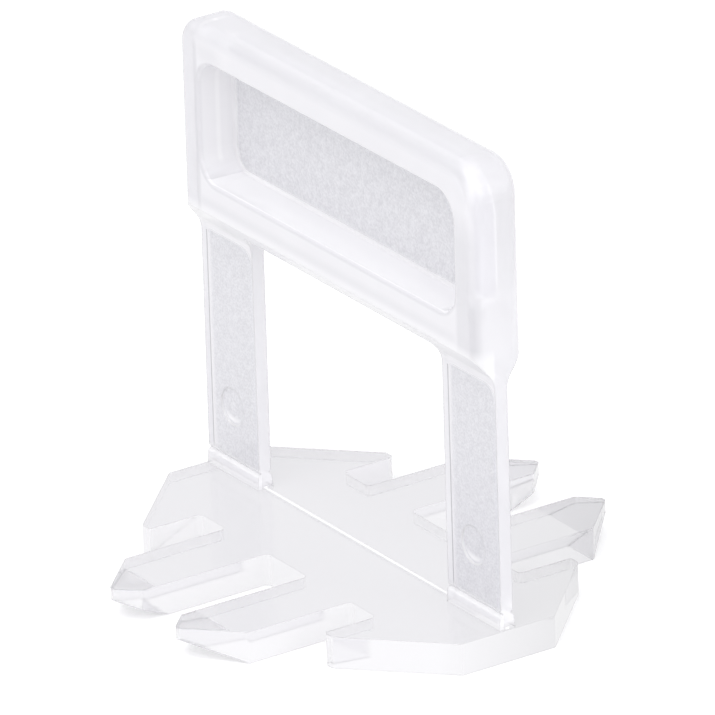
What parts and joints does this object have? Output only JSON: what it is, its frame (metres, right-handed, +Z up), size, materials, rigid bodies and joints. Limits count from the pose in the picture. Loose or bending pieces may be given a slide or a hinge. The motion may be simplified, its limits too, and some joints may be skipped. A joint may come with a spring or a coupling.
{
  "type": "tile leveling clip",
  "caption": "One-piece spacer clip for laying tiles: slotted base plate, two thin break-off legs and a pocketed header with a window for a wedge.",
  "frame": {"origin": "centre of the underside of the base plate, on the surface that the clip stands on", "axes": "+X along the line of the two legs, +Y across them away from the open side of the header's pocket, +Z up"},
  "size_m": [0.0364, 0.0356, 0.0367],
  "materials": {
    "natural_polypropylene": "smooth translucent moulding with a fine texture on the leg faces and the pocket floor"
  },
  "bodies": {
    "root": {"leveling_clip": "natural_polypropylene"}
  },
  "joints": []
}
